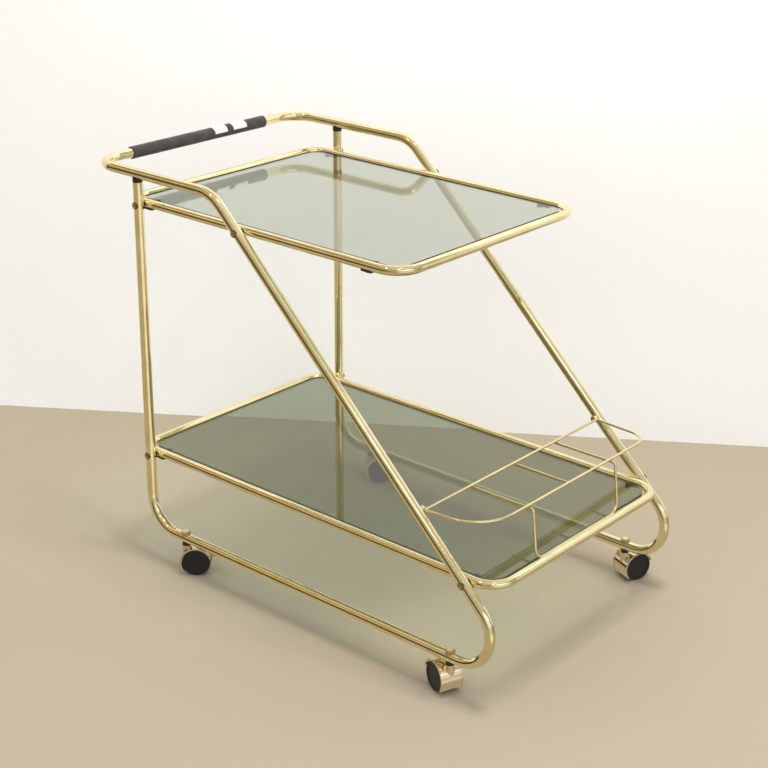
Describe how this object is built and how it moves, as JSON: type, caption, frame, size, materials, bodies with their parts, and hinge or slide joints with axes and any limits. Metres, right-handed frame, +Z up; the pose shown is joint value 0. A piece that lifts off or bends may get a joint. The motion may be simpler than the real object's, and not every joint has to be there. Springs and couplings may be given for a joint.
{
  "type": "bar cart",
  "caption": "Two-tier bar cart of bent brass tube with smoked glass shelves, a padded push handle, a wire bottle rack and swivel casters.",
  "frame": {"origin": "on the floor, at the middle of the overall footprint", "axes": "+X along the cart towards the bottle rack, handle at -X; +Y to the left seen from the handle; +Z up"},
  "size_m": [0.8176, 0.51, 0.6618],
  "materials": {
    "brass_tube": "polished brass plating on steel tube",
    "brass_wire": "polished brass plating on steel wire",
    "black_plastic": "moulded, matte",
    "grip_foam": "closed-cell foam sleeve, matte",
    "smoked_glass": "tinted float glass, ground edge",
    "steel": "turned",
    "caster_gold": "brass-plated pressed metal",
    "wheel_black": "moulded black plastic"
  },
  "bodies": {
    "cart": {"frame_right": "brass_tube", "frame_left": "brass_tube", "upper_tray_frame": "brass_tube", "lower_tray_frame": "brass_tube", "tray_bolts": "brass_tube", "cap_nuts": "brass_tube", "rack_loop": "brass_wire", "rack_divider": "brass_wire", "rack_leg_wire": "brass_wire", "upright_plug_right": "black_plastic", "upright_plug_left": "black_plastic", "upper_glass_clips": "black_plastic", "lower_glass_clips": "black_plastic", "tray_spacers": "black_plastic", "caster_collars": "black_plastic", "handle_grip": "grip_foam", "upper_glass": "smoked_glass", "lower_glass": "smoked_glass", "handle_sleeve": "steel", "clip_screws": "steel", "rack_screws": "steel", "caster_rear_right_stem": "steel", "caster_front_right_stem": "steel", "caster_front_left_stem": "steel", "caster_rear_left_stem": "steel"},
    "caster_rear_right": {"caster_rear_right_hood": "caster_gold", "caster_rear_right_axle": "steel"},
    "wheel_rear_right_a": {"caster_rear_right_wheel_a": "wheel_black"},
    "wheel_rear_right_b": {"caster_rear_right_wheel_b": "wheel_black"},
    "caster_front_right": {"caster_front_right_hood": "caster_gold", "caster_front_right_axle": "steel"},
    "wheel_front_right_a": {"caster_front_right_wheel_a": "wheel_black"},
    "wheel_front_right_b": {"caster_front_right_wheel_b": "wheel_black"},
    "caster_front_left": {"caster_front_left_hood": "caster_gold", "caster_front_left_axle": "steel"},
    "wheel_front_left_a": {"caster_front_left_wheel_a": "wheel_black"},
    "wheel_front_left_b": {"caster_front_left_wheel_b": "wheel_black"},
    "caster_rear_left": {"caster_rear_left_hood": "caster_gold", "caster_rear_left_axle": "steel"},
    "wheel_rear_left_a": {"caster_rear_left_wheel_a": "wheel_black"},
    "wheel_rear_left_b": {"caster_rear_left_wheel_b": "wheel_black"}
  },
  "joints": [
    {"name": "swivel_rear_right", "type": "hinge", "parent": "cart", "child": "caster_rear_right", "pos_m": [-0.22005, -0.23499, 0.0225], "axis": [0, 0, 1], "continuous": true},
    {"name": "roll_rear_right_a", "type": "hinge", "parent": "caster_rear_right", "child": "wheel_rear_right_a", "pos_m": [-0.20682, -0.22431, 0.0225], "axis": [-0.628, 0.7782, 0], "continuous": true},
    {"name": "roll_rear_right_b", "type": "hinge", "parent": "caster_rear_right", "child": "wheel_rear_right_b", "pos_m": [-0.20682, -0.22431, 0.0225], "axis": [-0.628, 0.7782, 0], "continuous": true},
    {"name": "swivel_front_right", "type": "hinge", "parent": "cart", "child": "caster_front_right", "pos_m": [0.33025, -0.23499, 0.0225], "axis": [0, 0, 1], "continuous": true},
    {"name": "roll_front_right_a", "type": "hinge", "parent": "caster_front_right", "child": "wheel_front_right_a", "pos_m": [0.31439, -0.22887, 0.0225], "axis": [-0.36, -0.933, 0], "continuous": true},
    {"name": "roll_front_right_b", "type": "hinge", "parent": "caster_front_right", "child": "wheel_front_right_b", "pos_m": [0.31439, -0.22887, 0.0225], "axis": [-0.36, -0.933, 0], "continuous": true},
    {"name": "swivel_front_left", "type": "hinge", "parent": "cart", "child": "caster_front_left", "pos_m": [0.33025, 0.20961, 0.0225], "axis": [0, 0, 1], "continuous": true},
    {"name": "roll_front_left_a", "type": "hinge", "parent": "caster_front_left", "child": "wheel_front_left_a", "pos_m": [0.33637, 0.22547, 0.0225], "axis": [-0.933, 0.36, 0], "continuous": true},
    {"name": "roll_front_left_b", "type": "hinge", "parent": "caster_front_left", "child": "wheel_front_left_b", "pos_m": [0.33637, 0.22547, 0.0225], "axis": [-0.933, 0.36, 0], "continuous": true},
    {"name": "swivel_rear_left", "type": "hinge", "parent": "cart", "child": "caster_rear_left", "pos_m": [-0.22005, 0.20961, 0.0225], "axis": [0, 0, 1], "continuous": true},
    {"name": "roll_rear_left_a", "type": "hinge", "parent": "caster_rear_left", "child": "wheel_rear_left_a", "pos_m": [-0.20803, 0.22163, 0.0225], "axis": [-0.7071, 0.7071, 0], "continuous": true},
    {"name": "roll_rear_left_b", "type": "hinge", "parent": "caster_rear_left", "child": "wheel_rear_left_b", "pos_m": [-0.20803, 0.22163, 0.0225], "axis": [-0.7071, 0.7071, 0], "continuous": true}
  ]
}
